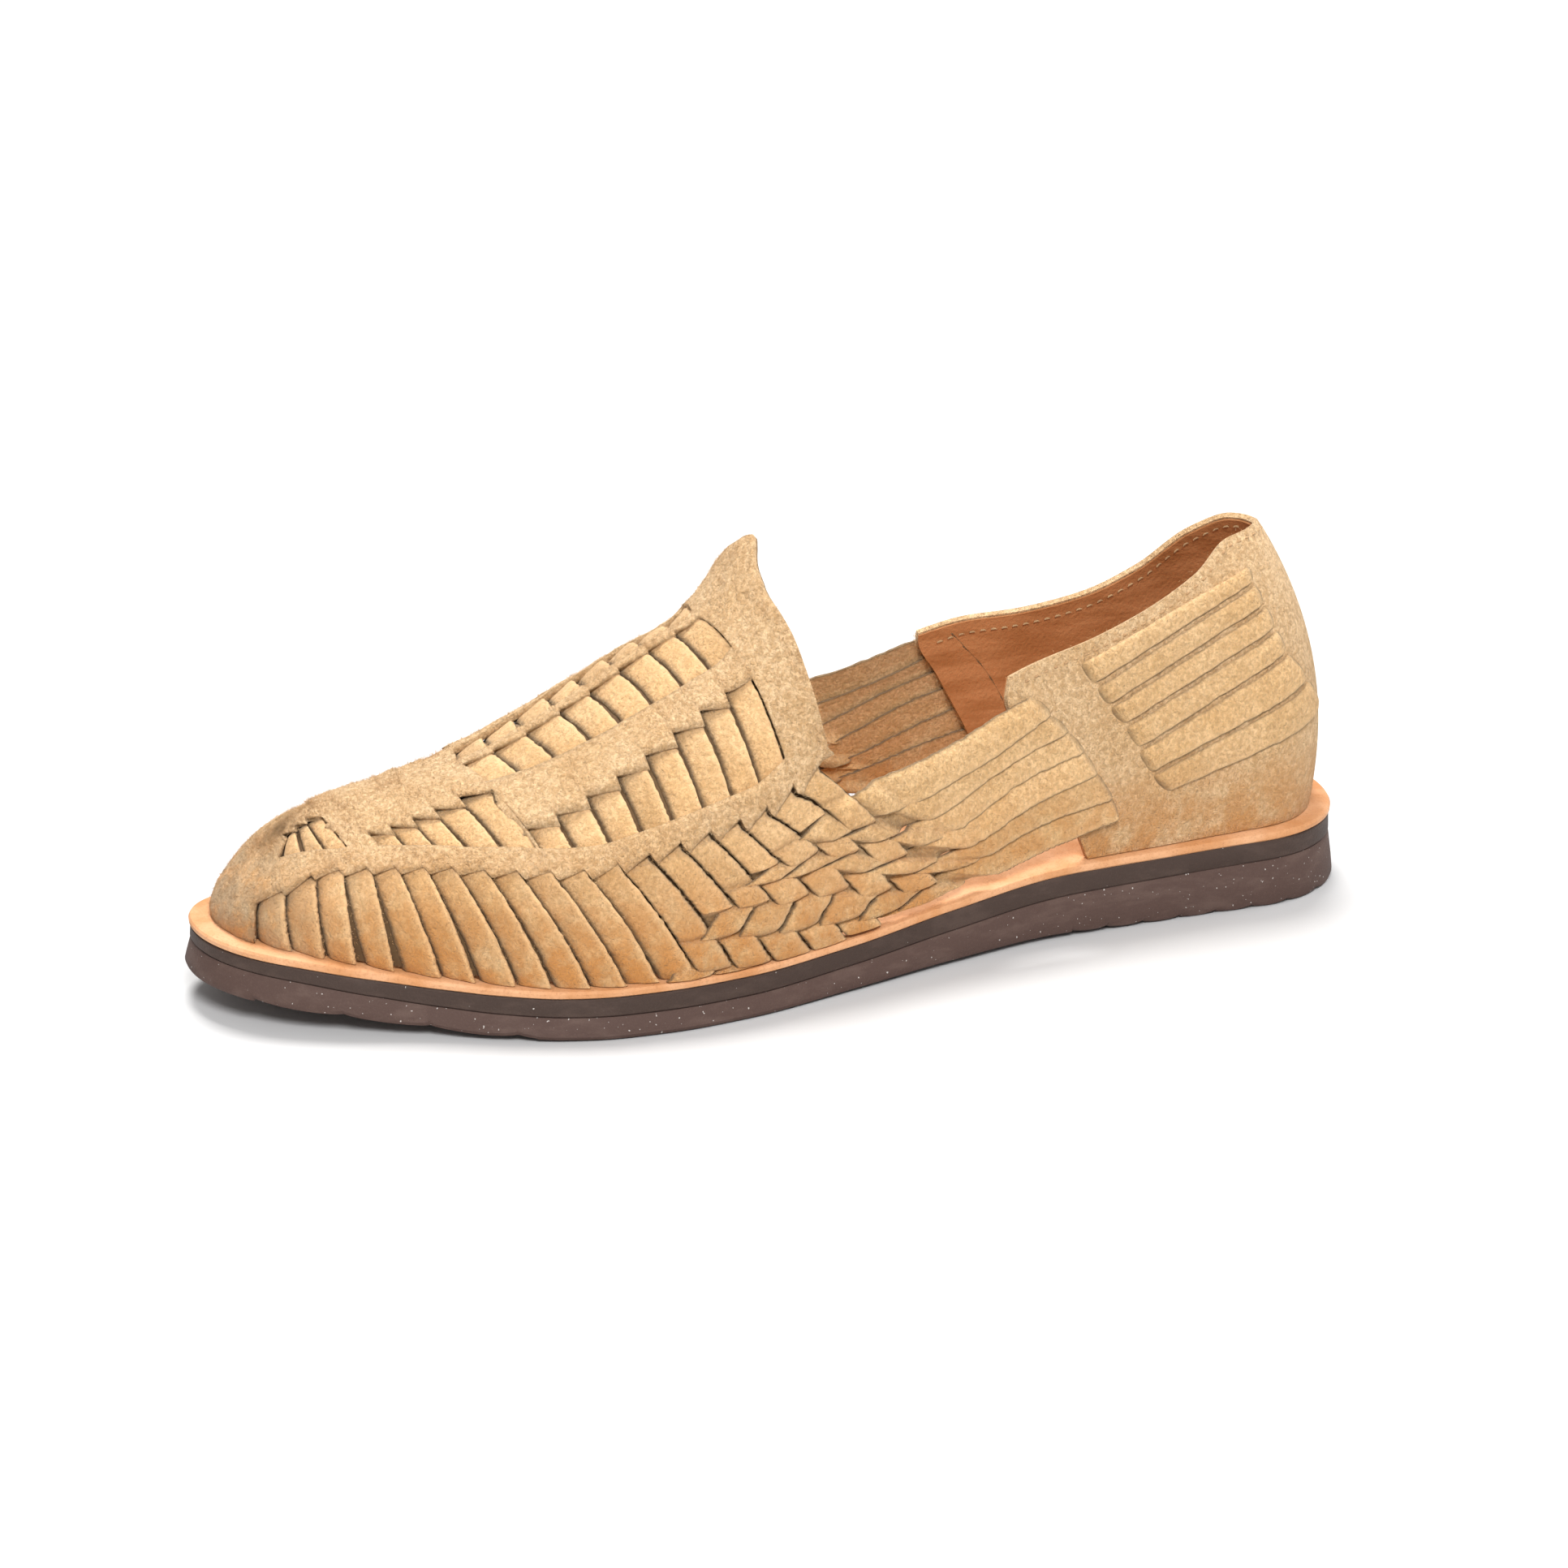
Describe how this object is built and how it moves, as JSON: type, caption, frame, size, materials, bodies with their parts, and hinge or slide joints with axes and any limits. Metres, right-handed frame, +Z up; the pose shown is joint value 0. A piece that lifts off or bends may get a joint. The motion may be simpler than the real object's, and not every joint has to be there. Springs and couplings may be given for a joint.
{
  "type": "sandal",
  "caption": "Left woven suede huarache sandal with a closed toe, a heel counter and a rippled rubber sole.",
  "frame": {"origin": "on the floor, under the middle of the sole", "axes": "+Z up, -Y towards the toe, +Y towards the heel, +X towards the outer side of the left foot"},
  "size_m": [0.102, 0.3052, 0.1041],
  "materials": {
    "suede": "matte",
    "insole_leather": "satin",
    "dark_midsole": "matte",
    "brown_rubber": "matte"
  },
  "bodies": {
    "root": {"outsole": "brown_rubber", "midsole": "dark_midsole", "insole": "insole_leather", "upper": "suede"}
  },
  "joints": []
}
